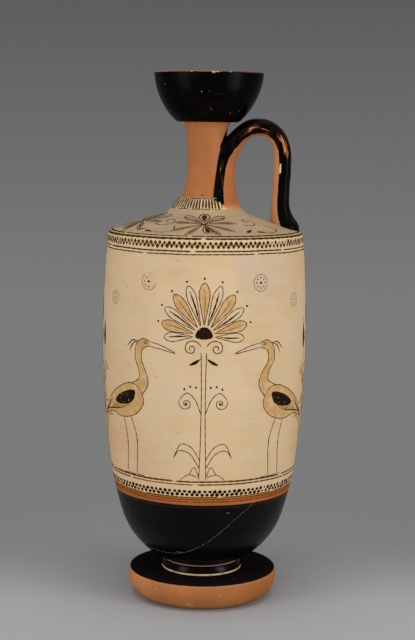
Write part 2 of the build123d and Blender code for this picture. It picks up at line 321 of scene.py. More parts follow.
class Look:
    """A node tree and the few steps that its colours are mixed with."""

    def __init__(self, owner, shader="Principled BSDF", place="Object"):
        owner.use_nodes = True
        self.owner, self.nodes, self.links = owner, owner.node_tree.nodes, owner.node_tree.links
        self.shader = self.nodes[shader]
        self.place = self.make("TexCoord", {}, place)

    def fill(self, node, inputs):
        """Links each value into a node's socket, or sets it there."""
        for key, value in inputs.items():
            socket = node.inputs[key]
            if isinstance(value, bpy.types.NodeSocket):
                self.links.new(value, socket)
            else:
                socket.default_value = (*value, 1) if socket.type == "RGBA" else value

    def make(self, kind, inputs, output=0, **settings):
        """The output of a new node with these settings and inputs."""
        node = self.nodes.new("ShaderNode" + kind)
        for key, value in settings.items():
            setattr(node, key, value)
        self.fill(node, inputs)
        return node.outputs[output]

    def maths(self, operation, first, second=0.0):
        return self.make("Math", {0: first, 1: second}, operation=operation)

    def times(self, first, second):
        return self.maths("MULTIPLY", first, second)

    def plus(self, first, second):
        return self.maths("ADD", first, second)

    def minus(self, first, second):
        return self.maths("SUBTRACT", first, second)

    def mix(self, share, first, second):
        return self.make("Mix", {0: share, 6: first, 7: second}, 2, data_type="RGBA")

    def coats(self, colour, *layers):
        """A colour under layers of (colour, where, how much)."""
        for layer, where, share in layers:
            colour = self.mix(where if share == 1 else self.times(where, share), colour, layer)
        return colour

    def blend(self, value, low, high, start=0.0, end=1.0):
        """start where the value is under low, end where it is over high, and smooth between."""
        inputs = dict(enumerate((value, low, high, start, end)))
        return self.make("MapRange", inputs, interpolation_type="SMOOTHSTEP")

    def zones(self, below, above, edge, height, softness=0.12):
        """One colour or value under an edge height and another over it."""
        if isinstance(below, float):
            return self.blend(height, edge - softness, edge + softness, below, above)
        return self.mix(self.blend(height, edge - softness, edge + softness), below, above)

    def noise(self, size, detail=3.0, stretch=(1, 1, 1), shift=0.0, place=None):
        """Noise whose features are about this many millimetres across."""
        spot = self.make("Mapping", {"Vector": self.place if place is None else place,
                                     "Location": (shift, shift * 0.7, shift * 1.3),
                                     "Scale": tuple(1 / (size * MM * part) for part in stretch)})
        inputs = {"Vector": spot, "Scale": 1.0, "Detail": detail, "Roughness": 0.55}
        return self.make("TexNoise", inputs, "Fac")

    def cloud(self, size, low, high, detail=3.0, stretch=(1, 1, 1), shift=0.0, start=0.0, end=1.0):
        """Patches of this size: a blend of the noise from low to high."""
        return self.blend(self.noise(size, detail, stretch, shift), low, high, start, end)

    def specks(self, spacing, size, shift=0.0):
        """1 at scattered small specks: a few of the cells of this spacing hold one."""
        spot = self.make("Mapping", {"Vector": self.place, "Location": (shift, shift, shift),
                                     "Scale": (1 / (spacing * MM),) * 3})
        apart = self.make("TexVoronoi", {"Vector": spot, "Scale": 1.0}, "Distance")
        return self.blend(apart, size / spacing * 0.6, size / spacing, 1.0, 0.0)

    def axis(self, name):
        """One coordinate, in millimetres."""
        return self.times(self.make("SeparateXYZ", {0: self.place}, name), 1 / MM)

    def height(self, waver=0.0, size=4.0):
        """Height in millimetres, with an edge that wavers by hand."""
        if not waver:
            return self.axis("Z")
        return self.plus(self.axis("Z"), self.times(self.minus(self.noise(size, 2.0), 0.5), waver * 2))

    def value(self, name):
        return self.make("Attribute", {}, "Fac", attribute_name=name)

    def strap(self):
        """A place on the handle: along it and across it."""
        return self.make("CombineXYZ", {0: self.value("strap_along"), 1: self.value("strap_across")})

    def near(self, angle, height, radius, inner, outer):
        """1 close to a point of the surface, falling to 0 at the outer distance."""
        point = around(radius * MM, math.radians(angle), height * MM)
        apart = self.make("VectorMath", {0: self.place, 1: point}, "Value", operation="DISTANCE")
        return self.blend(apart, inner * MM, outer * MM, 1.0, 0.0)

    def worn_to(self, colour, under):
        """The colour, broken to what lies under it where the piece is chipped."""
        broken = self.plus(self.value("worn"), self.times(self.noise(0.8), 0.5))
        return self.mix(self.blend(broken, 0.50, 0.65), colour, under)

    def finish(self, colour, roughness, depth, specular, bump=None):
        """Colour, roughness and a bump of this depth in millimetres: a fine grain if no other is given."""
        if bump is None:
            bump = self.plus(self.noise(0.9), self.noise(1.4, 1.0, (25, 25, 1)))
        normal = self.make("Bump", {"Strength": 1.0, "Distance": depth * MM, "Height": bump})
        self.fill(self.shader, {"Base Color": colour, "Roughness": roughness, "Specular IOR Level": specular,
                                "Normal": normal})
        return self.owner


def new_look(name):
    return Look(bpy.data.materials.new(name))


def clay_colour(look):
    """Reserved orange clay: warm drifts, faint wheel lines and small pits."""
    return look.coats(CLAY, (CLAY_DARK, look.cloud(26, 0.30, 0.72, 4.0, (1, 1, 2)), 1),
                      (CLAY_PALE, look.cloud(1.4, 0.52, 0.74, 2.0, (30, 30, 1)), 0.09),
                      (CLAY_DARK, look.cloud(2.2, 0.50, 0.75, 4.0), 0.25),
                      (CLAY_PALE, look.specks(7.0, 0.40, 3.0), 0.6))


def gloss_colour(look):
    """Black gloss: near black, browner where thin, with a few dim pinholes."""
    rare = look.times(look.specks(8.0, 0.36, 1.0), look.cloud(16, 0.54, 0.60, 2.0))
    return look.coats(BLACK, (BROWN_BLACK, look.cloud(9, 0.50, 0.78, 4.0, (2.2, 2.2, 1)), 1),
                      (PLASTER, rare, 0.35))


def clay_roughness(look):
    return look.cloud(2.5, 0.3, 0.7, start=0.46, end=0.62)


def mouth_material():
    """Black gloss with the rim's flat top left in clay, darker towards the handle."""
    look = new_look("mouth_gloss")
    rim_edge = mouth_top - 0.55
    rim = look.coats(clay_colour(look), (RIM_SHADE, look.blend(look.axis("X"), 4, 16), 0.85))
    colour = look.zones(gloss_colour(look), rim, rim_edge, look.height(0.25, 3.0), 0.08)
    roughness = look.zones(0.30, 0.55, rim_edge, look.height())
    return look.finish(look.worn_to(colour, RIM_CHIP), roughness, 0.010, 0.032)


def fillet_material():
    """A black band between a thin reserved line and a pale reserved bead."""
    look = new_look("fillet_gloss")
    height = look.height(0.08, 5.0)
    bead = look.coats(CLAY_PALE, (BEAD, look.cloud(5.0, 0.35, 0.6), 1))
    colour = look.zones(bead, gloss_colour(look), fillet_low + bead_height, height, 0.08)
    colour = look.zones(colour, FILLET_LINE, fillet_top - 0.40, height, 0.08)
    return look.finish(colour, 0.24, 0.010, 0.10)


def foot_material():
    """Clay side under a dull black top, rubbed pale and dusty along its lower edge, paler all over, with
    painted light along its top and down its left.
    """
    look = new_look("foot_clay")
    height = look.height(0.2, 6.0)
    rubbed = look.times(look.blend(height, 7.0, 1.0), look.cloud(3.5, 0.54, 0.68, 4.0))
    dust = look.times(look.blend(height, 7.5, 0.5), look.cloud(3.6, 0.44, 0.60, 5.0, shift=11.0))
    side = look.coats(clay_colour(look), (FOOT_OCHRE, look.blend(height, 7.0, 0.0), 0.6),
                      (FOOT_RUBBED, rubbed, 0.40), (FOOT_DUST, dust, 0.70),
                      (FOOT_BLOTCH, look.cloud(9.0, 0.50, 0.70, 4.0, shift=13.0), 0.45),
                      # Paler clay all over the side, stronger along its top as painted light
                      (FOOT_PALE_AND_LIT, look.zones(0.18, 0.36, foot_edge[1] - 1.4, height, 0.5), 1),
                      # Painted light: paler clay down the left of the side
                      (CLAY_PALE, look.blend(look.axis("X"), -22, -42), 0.55))
    black_top = look.coats(DULL_BLACK, (BROWN_BLACK, look.cloud(6, 0.4, 0.7), 0.6))
    colour = look.zones(look.worn_to(side, CLAY_PALE), black_top, foot_edge[1] - 0.15, height, 0.08)
    return look.finish(colour, 0.6, 0.02, 0.0)


def neck_material():
    """Clay above, pale slip under the tongues on its collar."""
    look = new_look("neck_clay")
    # The collar's slip is mottled with the shoulder's slip in painted shade
    slip = look.coats(BAND_CREAM, (SHADED_SHOULDER_SLIP, look.cloud(8, 0.4, 0.65), 1))
    clay = look.mix(0.20, clay_colour(look), CLAY_PALE)
    colour = look.zones(slip, clay, neck_root[1] - 0.15, look.height(0.15, 4.0), 0.1)
    return look.finish(look.worn_to(colour, CLAY_PALE), clay_roughness(look), 0.02, 0.2)


def shoulder_material():
    """Cream slip darkened to a greyish tan as painted shade, paler at the edge."""
    look = new_look("shoulder_slip")
    # Where the painted shade ends, at the shoulder's edge
    pale = look.zones(1.0, 0.0, shoulder_edge[1] - 1.6, look.height(0.5, 6.0), 0.6)
    colour = look.coats(SHADED_SHOULDER_SLIP, (SHOULDER_GREY, look.cloud(18, 0.35, 0.68, 5.0), 1),
                        (CREAM_GREY, look.cloud(4, 0.55, 0.75, 4.0), 0.5), (BAND_CREAM, pale, 1))
    return look.finish(colour, clay_roughness(look), 0.03, 0.25)


def ground_colour(look):
    """White ground: cream with warm and grey drifts, pink stains low on the left, and scratches, warmer and
    darker towards the bottom, with painted shade at both sides low down and down the left.
    """
    across, height = look.axis("X"), look.height()
    stain = look.times(look.near(-52, 98, 61, 8, 34), look.cloud(7, 0.30, 0.60, 4.0, start=0.35))
    # Painted shade at both sides of the wall, low down
    sides = look.blend(look.maths("ABSOLUTE", across), 48, 62)
    edge_shade = look.times(sides, look.blend(height, 165.0, 95.0))
    # Warmer and darker towards the bottom, and painted shade down the left side
    warm = look.maths("MAXIMUM", look.blend(height, 150.0, 92.0), look.blend(across, -25, -55, 0.0, 0.8))
    greyed = look.times(look.near(31, 222, 62, 8, 34), look.cloud(14, 0.30, 0.55, 4.0))
    dirt = look.times(look.specks(6.5, 0.55, 2.0), look.cloud(12, 0.44, 0.54))
    return look.coats(CREAM, (CREAM_WARM, look.cloud(38, 0.36, 0.66, 5.0), 1),
                      (CREAM_GREY, look.cloud(22, 0.48, 0.72, 4.0, (1, 1, 1.6), 5.0), 0.7),
                      (PINK_STAIN, stain, 0.7), (CREAM_EDGE_SHADE, edge_shade, 0.75), (CREAM_WARM, warm, 0.55),
                      (CREAM_DULL, greyed, 0.85),
                      (CREAM_GREY, look.cloud(6.0, 0.46, 0.64, 4.0, (7, 7, 1), 12.0), 0.45),
                      (CREAM_RUBBED, look.cloud(1.6, 0.56, 0.72, 3.0, (12, 12, 1), 9.0), 0.34),
                      (LINE_THIN, dirt, 0.6))


def body_material():
    """White ground over a clay band over black gloss, each edge drawn by hand."""
    look = new_look("white_ground")
    height = look.height(0.28, 5.0)
    bands = look.coats(BAND_CREAM, (CREAM, look.cloud(6, 0.4, 0.7), 1))
    upper = look.zones(0.0, 0.85, upper_lines[1] + 0.5, height, 0.8)
    lower = look.zones(0.55, 0.0, lower_lines[1] - 1.0, height, 0.8)
    cream = look.coats(ground_colour(look), (bands, upper, 1), (bands, lower, 1))
    thin_line = look.times(look.zones(0.0, 1.0, clay_end - 1.9, height, 0.2),
                           look.zones(1.0, 0.0, clay_end - 1.4, height, 0.2))
    low = look.coats(gloss_colour(look), (CLAY_DARK, thin_line, 0.09))
    colour = look.zones(look.mix(0.28, clay_colour(look), CLAY_BROWN), cream, ground_end, height, 0.15)
    colour = look.zones(look.worn_to(low, PLASTER), colour, clay_end, height)
    roughness = look.plus(look.zones(0.30, 0.54, clay_end, look.height()),
                          look.cloud(4, 0.3, 0.7, 4.0, start=-0.05, end=0.07))
    return look.finish(colour, roughness, 0.025, 0.10)


def handle_material():
    """Black gloss outside, reserved clay towards the loop, worn through in fine streaks along its ridge, with
    painted glints in the streaks and a painted highlight on the far limb's clay.
    """
    look = new_look("handle_gloss")
    strap = look.strap()
    waver = look.minus(look.noise(3.0), 0.5)
    painted = look.blend(look.plus(look.value("paint_edge"), waver), -0.12, 0.12)
    streaks = look.minus(look.noise(0.95, 2.5, (8, 1, 1), 2.0, strap), 0.5)
    flecks = look.plus(look.value("worn"), look.times(streaks, 1.6))
    worn = look.blend(flecks, 0.50, 0.54)
    # Glints: pale specks painted as highlights in the worn streaks
    glints = look.blend(look.noise(0.6, 2.0, (6, 1, 1), 6.0, strap), 0.56, 0.62)
    bared = look.coats(CLAY_BROWN, (CLAY, look.blend(flecks, 0.50, 0.66), 1), (RESERVED, glints, 0.6))
    stain = look.blend(flecks, 0.25, 0.52)
    black = look.coats(gloss_colour(look), (CLAY_DARK, stain, 0.13), (bared, worn, 1))
    far_limb = look.blend(look.axis("X"), 28, 40)
    slipped = look.zones(0.42, 0.0, shoulder_top + 1.8, look.height(0.8, 3.0), 2.4)
    # Painted highlight: paler clay on the far limb
    clay = look.coats(look.mix(0.16, clay_colour(look), CLAY_TAN), (RESERVED, far_limb, 0.28),
                      (RESERVED, look.times(slipped, look.minus(1.0, far_limb)), 1))
    bare = look.blend(look.plus(look.value("bare"), look.times(waver, 0.6)), -0.10, 0.12)
    colour = look.coats(clay, (black, painted, 1), (BARE_CHIP, bare, 1))
    roughness = look.blend(look.minus(painted, look.times(worn, 0.8)), 0.0, 1.0, 0.55, 0.34)
    return look.finish(colour, roughness, 0.02, 0.04)


def paint_material(name):
    """Brushwork: uneven in tone, and worn off in flecks and patches to the ground under it."""
    colour, thin, ground, wear, roughness = paints[name]
    look = new_look(name)
    flecks = look.cloud(1.1, 0.74 - wear, 0.80 - wear, 5.0, shift=4.0)
    patches = look.cloud(13, 0.72 - wear * 0.6, 0.76 - wear * 0.6, 4.0, shift=7.0)
    colour = look.coats(colour, (thin, look.cloud(4.0, 0.42, 0.72, 4.0), 1),
                        (ground, look.maths("MAXIMUM", flecks, patches), 1))
    return look.finish(colour, roughness, 0.02, 0.0)


# Brushwork, drawn flat and laid on the curved wall

rng = random.Random(41)


def on_wall(outline, drawing_radius, rise=0.0, lean=upright):
    """Lays a drawing on a thrown wall: x runs round from the front at the drawing's radius, z is height."""
    wall_radius = radius_at(outline)

    def place(x, z, lift):
        angle = x / drawing_radius
        shift = np.interp(z, (mouth_base[1], mouth_top), lean)
        return around(wall_radius(z) + hand_thrown(angle, z) + lift, angle, z + rise * lift, shift)

    return place


on_body = on_wall(body_outer, panel_radius)
on_neck = on_wall(neck_outer, neck_seat_radius, 0.5)
on_mouth = on_wall(mouth_outer, mouth_drawing_radius, 0.0, mouth_lean)
body_radius = radius_at(body_outer)
# With its columns swapped, the shoulder's outline gives its height at a radius
shoulder_height = radius_at(shoulder_outer[:, ::-1])


def on_shoulder(x, y, lift):
    """A drawing in plan, dropped onto the shoulder."""
    radius = np.hypot(x, y)
    height = shoulder_height(radius)
    drawn_in = 1 + hand_thrown(np.arctan2(x, -y), height) / radius
    return np.stack([x * drawn_in, y * drawn_in, height + lift], -1)


def blunt(wave, power):
    """A sine or cosine raised to a power, with its sign kept."""
    return np.sign(wave) * np.abs(wave) ** power


class Brush:
    """Collects the strokes, dots and patches of one colour as one thin raised mesh."""

    def __init__(self, place):
        self.place, self.points, self.faces, self.count = place, [], [], 0

    def add(self, points, faces):
        self.points.append(points)
        self.faces.extend([[index + self.count for index in face] for face in faces])
        self.count += len(points)

    def stroke(self, line, width, tips=1.5):
        """A line of this width that thins over its tips, raised along its middle."""
        line = np.asarray(line, float)
        along = distances(line)
        heading = np.gradient(line, axis=0)
        heading /= np.maximum(np.hypot(*heading.T), 1e-9)[:, None]
        side = np.stack([-heading[:, 1], heading[:, 0]], 1)
        ends = np.minimum(along, along[-1] - along)
        shake = 1 + 0.16 * np.sin(along * 1.3 + rng.uniform(0, 6))
        shake = shake + 0.08 * np.sin(along * 3.1 + rng.uniform(0, 6))
        half = width / 2 * shake * np.clip(0.25 + 0.75 * ends / tips, 0.25, 1) ** 0.8
        rails = ((-1, relief_edge), (-0.45, relief), (0.45, relief), (1, relief_edge))
        points = [self.place(*(line + side * half[:, None] * part).T, lift) for part, lift in rails]
        rows = len(line)
        faces = [(k * rows + i, k * rows + i + 1, (k + 1) * rows + i + 1, (k + 1) * rows + i)
                 for k in range(3) for i in range(rows - 1)]
        self.add(np.vstack(points), faces)

    def broken(self, line, width, run, gap):
        """A long stroke with short worn gaps."""
        along = distances(line)
        start = 0.0
        while start < along[-1] - 1:
            end = min(start + rng.uniform(*run), along[-1])
            inside = (along >= start) & (along <= end)
            if inside.sum() > 3:
                self.stroke(line[inside], width * rng.uniform(0.8, 1.15), 1.0)
            start = end + rng.uniform(*gap)

    def dot(self, centre, across, tall, lean=0.0, corners=10, squareness=2.0):
        """A blob: round, or a lozenge at a low squareness."""
        turn = np.linspace(0, math.tau, corners, endpoint=False)
        x = blunt(np.cos(turn), 2 / squareness) * across / 2
        z = blunt(np.sin(turn), 2 / squareness) * tall / 2
        wobble = np.array([rng.uniform(0.85, 1.12) for _ in turn])
        rim = np.stack([centre[0] + (x + lean * z) * wobble, centre[1] + z * wobble], 1)
        inner = (rim - centre) * 0.7 + centre
        middle = np.array([centre], float)
        rings = [self.place(*ring.T, lift)
                 for ring, lift in ((rim, relief_edge), (inner, relief), (middle, relief))]
        faces = [(i, (i + 1) % corners, corners + (i + 1) % corners, corners + i) for i in range(corners)]
        faces += [(corners + i, corners + (i + 1) % corners, 2 * corners) for i in range(corners)]
        self.add(np.vstack(rings), faces)

    def patch(self, outline, lift=relief, longest=2.5):
        """A filled area, cut fine enough to follow the wall."""
        shape = bmesh.new()
        ring = [shape.verts.new((x, z, 0)) for x, z in outline]
        bmesh.ops.triangulate(shape, faces=[shape.faces.new(ring)])
        for _ in range(5):
            long_edges = [edge for edge in shape.edges if edge.calc_length() > longest]
            if not long_edges:
                break
            bmesh.ops.subdivide_edges(shape, edges=long_edges, cuts=1)
            bmesh.ops.triangulate(shape, faces=shape.faces)
        shape.verts.index_update()
        flat = np.array([vert.co for vert in shape.verts])
        edge = np.array([vert.is_boundary for vert in shape.verts])
        faces = [[vert.index for vert in face.verts] for face in shape.faces]
        shape.free()
        self.add(self.place(flat[:, 0], flat[:, 1], np.where(edge, relief_edge, lift)), faces)

    def piece(self, name, paint, slot):
        material = bpy.data.materials.get(paint) or paint_material(paint)
        add_piece(name, mesh_of(name, np.vstack(self.points), self.faces), material)


def placed(points, at, flip=False, turn=0.0, size=1.0):
    """A drawing mirrored, scaled, turned anticlockwise and moved to its place."""
    points = np.array(points, float) * size
    if flip:
        points = points * (-1, 1)
    cosine, sine = math.cos(turn), math.sin(turn)
    return points @ np.array([[cosine, sine], [-sine, cosine]]) + at


def spiral(centre, outer, inner, start, turns):
    """A volute from its outer end to its eye."""
    share = np.linspace(0, 1, max(12, int(abs(turns) * 28)))
    radius = outer * (inner / outer) ** share
    angle = start + math.tau * turns * share
    return np.stack([centre[0] + radius * np.cos(angle), centre[1] + radius * np.sin(angle)], 1)


def leaf(length, width):
    """A long petal from its base round its tip and back."""
    half = width / 2
    side = [(half * 0.55, length * 0.35), (half, length * 0.72), (half * 0.6, length * 0.93)]
    return [(0, 0), *side, (0, length), *((-across, up) for across, up in side[::-1]), (0, 0)]


def ring_line(height):
    """A line round the body at one height."""
    x = np.linspace(-math.pi, math.pi, 400) * panel_radius
    return np.stack([x, np.full_like(x, height) + 0.12 * np.sin(x / 19.0) + 0.06 * np.sin(x / 5.3)], 1)


def band_of_dots(brush, rows, across, tall, lean, corners, squareness):
    """Two staggered rows right round the body, fainter in worn stretches."""
    count = round(math.tau * body_radius(rows[0]) / dot_pitch)
    for row, height in enumerate(rows):
        stretch = panel_radius / body_radius(height)
        for index in range(count):
            angle = math.tau * (index + 0.5 * row) / count
            wear = 0.5 + 0.5 * math.sin(3 * angle + 1.1 * row + 2.3) * math.sin(5 * angle + 0.6)
            size = rng.uniform(0.88, 1.12) * (0.6 if wear > 0.76 and rng.random() < 0.65 else 1.0)
            x = (angle - math.pi) * panel_radius + rng.uniform(-0.15, 0.15)
            z = height + rng.uniform(-0.12, 0.12)
            brush.dot((x, z), across * size * stretch, tall * size, lean, corners, squareness)


def paint_bands():
    """Net and dot bands with their border lines."""
    for name, paint, rows, *dot_shape in (
            ("band_net", "net_paint", lozenge_rows, 2.42, 2.85, 0.04, 8, 1.2),
            ("band_dots", "dot_paint", round_rows, 2.4, 2.2, 0.05, 10, 2.1)):
        brush = Brush(on_body)
        band_of_dots(brush, rows, *dot_shape)
        brush.piece(name, paint, "white_ground")
    for name, paint, run, gap, rings in (
            ("band_lines", "band_paint", (25, 90), (0.5, 1.8),
             ((upper_lines[0], 0.85), (ground_end + 0.1, 0.55))),
            ("band_dilute_lines", "band_dilute", (40, 130), (0.4, 1.4),
             ((upper_lines[1], 0.75), (lower_lines[0], 1.1), (lower_lines[1], 0.8))),
            ("clay_band_lines", "clay_line_paint", (60, 180), (0.3, 1.0),
             ((brown_lines[0], 0.9), (brown_lines[1], 0.75)))):
        brush = Brush(on_body)
        for height, width in rings:
            brush.broken(ring_line(height), width, run, gap)
        brush.piece(name, paint, "white_ground")


def paint_tongues():
    """Tongue strokes round the neck's foot, open where the handle is luted on."""
    brush = Brush(on_neck)
    open_from, open_to = math.radians(25), math.radians(155)
    for index in range(tongue_count):
        angle = math.tau * index / tongue_count - math.pi
        if open_from < angle < open_to:
            continue
        x = angle * neck_seat_radius + rng.uniform(-0.1, 0.1)
        low, high = tongue_foot + rng.uniform(-0.1, 0.3), tongue_top - rng.uniform(0.0, 0.3)
        lean = rng.uniform(-0.2, 0.2)
        up = np.linspace(low, high, 9)
        brush.stroke(np.stack([x + lean * (up - low) / 6, up], 1), rng.uniform(1.15, 1.3), 0.6)
    x = np.linspace((open_to - math.tau) * neck_seat_radius, open_from * neck_seat_radius, 160)
    for height, width, run, gap in ((tongue_top + 0.05, 0.5, (8, 30), (0.3, 0.9)),
                                    (tongue_foot - 0.12, 0.4, (6, 20), (0.4, 1.5))):
        brush.broken(np.stack([x, np.full_like(x, height)], 1), width, run, gap)
    brush.dot((math.radians(-8.5) * neck_seat_radius, 258.2), 1.5, 1.3)
    brush.piece("neck_tongues", "tongue_paint", "clay")


def paint_smears():
    """Black gloss from the handle's foot, run onto the neck."""
    brush = Brush(on_neck)
    for run in ([(80, 298.0), (79, 292.6), (69, 288.0), (54, 286.6), (45, 286.9), (44, 288.8), (51.5, 292.0),
                 (59, 295.0), (69, 297.4)],
                [(34, 256.0), (33, 254.6), (21, 254.4), (18.5, 255.2), (19, 256.1)],
                [(25.5, 255.5), (24.2, 253.0), (23.6, 250.2), (21.8, 250.2), (22.0, 253.0), (22.5, 255.5)],
                [(32, 255.5), (30.5, 253.0), (28.6, 250.5), (27.0, 250.5), (28.2, 253.0), (28.5, 255.5)]):
        outline = [(math.radians(angle) * neck_seat_radius, height) for angle, height in run]
        brush.patch(smooth(outline, 0.5, True)[:-1], relief, 1.2)
    brush.piece("neck_smears", "smear_gloss", "black_gloss")


def paint_mouth():
    """Pinpricks and a few short scratches in the mouth's gloss."""
    specks, scratches = Brush(on_mouth), Brush(on_mouth)
    for spot in ((-33.0, 329.4), (-28.8, 326.2), (-4.0, 321.5), (17.3, 308.9), (24.6, 310.3), (2.2, 310.7),
                 (70, 322), (-75, 318)):
        specks.dot(spot, rng.uniform(0.45, 0.65), rng.uniform(0.45, 0.65), 0.2, 8)
    specks.piece("mouth_specks", "speck", "black_gloss")
    for line, width in (([(3.3, 320.2), (6.5, 320.0), (10.0, 320.2)], 0.35),
                        ([(25.5, 316.5), (28.5, 316.9), (31.5, 317.0)], 0.35),
                        ([(19.5, 308.0), (22.5, 308.8), (25.0, 310.8), (26.2, 313.5)], 0.30)):
        scratches.stroke(smooth(line, line_step), width)
    scratches.piece("mouth_scratches", "scratch", "black_gloss")


def on_plan(angle, radius):
    """Where a drawing on the shoulder stands, and how far it is turned."""
    turn = math.radians(angle)
    return np.array([radius * math.sin(turn), -radius * math.cos(turn)]), turn


def shoulder_palmette(lines, solids, angle):
    """A palmette on the shoulder: a knot, a black drop each way and petals with a dark wedge in each."""
    at, turn = on_plan(angle, 40.7)

    def petal(length, width, start, lean):
        """A petal's outline, its lean turned from the neck towards the left."""
        petal_turn = turn + math.radians(lean)
        base = placed([(0, start)], at, False, petal_turn)[0]
        return placed(smooth(leaf(length, width), 0.5), base, False, petal_turn)

    solids.dot(at, 4.2, 2.6)
    for length, width, start, lean in ((10.2, 3.4, 4.2, 0), (10.0, 3.0, 3.3, 195)):
        solids.patch(petal(length, width, start, lean)[:-1])
        lines.stroke(petal(length + 2.4, width * 2, start - 1.6, lean), 0.75)
    for side in (-1, 1):
        for lean, length, width in ((71, 19.0, 3.2), (112, 19.5, 3.2), (147, 18.0, 3.2)):
            lines.stroke(petal(length, width, 1.2, side * lean), 0.62)
            solids.patch(petal(length * 0.70, 1.35, length * 0.28, side * lean)[:-1])
        lines.stroke(petal(17.8, 5.0, 1.2, side * 38), 0.75)
        lines.stroke(petal(13.0, 2.0, 4.0, side * 42), 0.6)


def shoulder_tendril(lines, solids, angle, side):
    """A scroll between two palmettes, with buds at its ends."""
    at, turn = on_plan(angle, 41.0)
    curl = spiral((0, 4.0), 8.5, 1.2, math.pi / 2 * (1 + side) + 0.4, side * 1.25)
    tail = [(side * 9, -2), (side * 13, -8), (side * 9, -13), (side * 2, -14)]
    lines.stroke(placed(curl, at, False, turn), 0.75)
    lines.stroke(smooth(placed(tail, at, False, turn), line_step), 0.75)
    for place, lean in (((2, -14), 75), ((-6, -8), 115)):
        bud = placed([(side * place[0], place[1])], at, False, turn)[0]
        solids.patch(placed(smooth(leaf(8.0, 2.6), 0.6)[:-1], bud, False, turn + side * math.radians(lean)))


def paint_shoulder():
    """Palmettes, scrolls and the border rings of the shoulder."""
    lines, solids = Brush(on_shoulder), Brush(on_shoulder)
    for angle in (-1.5, -73.5, -145.5, 142.5):
        shoulder_palmette(lines, solids, angle)
    for angle, side in ((-37.5, 1), (-109.5, -1), (178.5, 1), (42, 1), (112, -1)):
        shoulder_tendril(lines, solids, angle, side)
    turn = np.linspace(0, math.tau, 360)
    for radius, width in zip(shoulder_rings, (1.15, 0.8)):
        ring = np.stack([radius * np.sin(turn), -radius * np.cos(turn)], 1)
        lines.broken(ring, width, (30, 110), (0.4, 1.4))
    lines.piece("shoulder_lines", "shoulder_paint", "shoulder_slip")
    solids.piece("shoulder_drops", "shoulder_paint", "shoulder_slip")


# Panel: a heron pair by a palmette tree, among reeds, twice round the body

class Panel:
    """The panel's three brushes: thin outline, black solid and ochre wash."""

    def __init__(self):
        self.lines, self.solids, self.washes = (Brush(on_body) for _ in range(3))

    def area(self, brush, points, to, lift=relief):
        brush.patch(to(smooth(points, area_step, True)[:-1]), lift)

    def draw(self, to, width, *strokes, tips=1.5):
        for points in strokes:
            self.lines.stroke(to(smooth(points, line_step)), width, tips)

    def spot(self, to, point, across, tall):
        self.solids.dot(to([point])[0], across, tall)


def heron(panel, x, flip, stoop):
    """A standing heron with one leg forward, its head moved on by the stoop."""
    heron_size, neck_bend = 0.98, 72

    def to(points):
        return placed(points, (x, panel_floor), flip, 0.0, heron_size)

    def stooped(*points):
        return [(across + stoop * (up > neck_bend), up) for across, up in points]

    body = [(13, 55), (15, 47), (8, 39.5), (-4, 36.5), (-17, 38), (-31, 35), (-17, 49), (-2, 57.5), (7, 59)]
    neck_front = stooped((14, 52), (19, 60), (17, 68), (12.5, 75), (13.5, 81.5), (18.5, 83.8))
    neck_back = stooped((5, 58.8), (12, 63), (11.5, 69), (7.5, 76), (8.5, 84), (13.5, 88), (19, 86.6))
    panel.area(panel.washes, body, to, wash_relief)
    panel.washes.patch(to(np.vstack([smooth(neck_front, 1.5), smooth(neck_back, 1.5)[::-1]])), wash_relief)
    panel.lines.stroke(to(smooth(body, line_step, True)), 0.55)
    panel.draw(to, 0.55, neck_front, neck_back)
    panel.draw(to, 0.5, stooped((19, 86.6), (27, 84.6), (36, 80.5), (27, 82.3), (18.5, 83.8)))
    panel.spot(to, stooped((15.4, 85.7))[0], 1.0, 1.0)
    for lid in ((15.2, 86.7), (15.4, 84.9)):
        panel.draw(to, 0.35, stooped((13.8, 85.5), lid, (17.2, 85.6)))
    for bend, tail in (((5, 86.2), (0.5, 82.0)), ((5.5, 84.2), (2.5, 79.0))):
        panel.draw(to, 0.8, stooped((9.8, 86.2), bend, tail), tips=4.0)
    panel.area(panel.solids, [(9, 54.5), (2, 54.5), (-7, 51), (-13, 45.5), (-5, 44), (5, 46.5)], to)
    for drop in range(5):
        start = (3 - 3.5 * drop, 45.5 - 0.3 * drop)
        panel.draw(to, 0.45, [start, (start[0] - 8, 42 - 0.5 * drop), (-19 - 2.6 * drop, 39.4 - 0.5 * drop)])
    panel.draw(to, 1.5, [(-17, 46.5), (-24, 40), (-33, 33.5)], tips=7.0)
    for hip, knee, foot in (((-3, 37), (-0.5, 21), (-3.5, 0.6)), ((4, 38), (8.5, 23), (6.0, 0.6))):
        panel.draw(to, 0.6, [hip, knee, foot])
        panel.draw(to, 0.5, [foot, (foot[0] + 3.4, 0.5), (foot[0] + 7, 0.2)],
                   [foot, (foot[0] - 2, 0.3), (foot[0] - 4, 0.1)])
        panel.spot(to, knee, 1.2, 1.5)


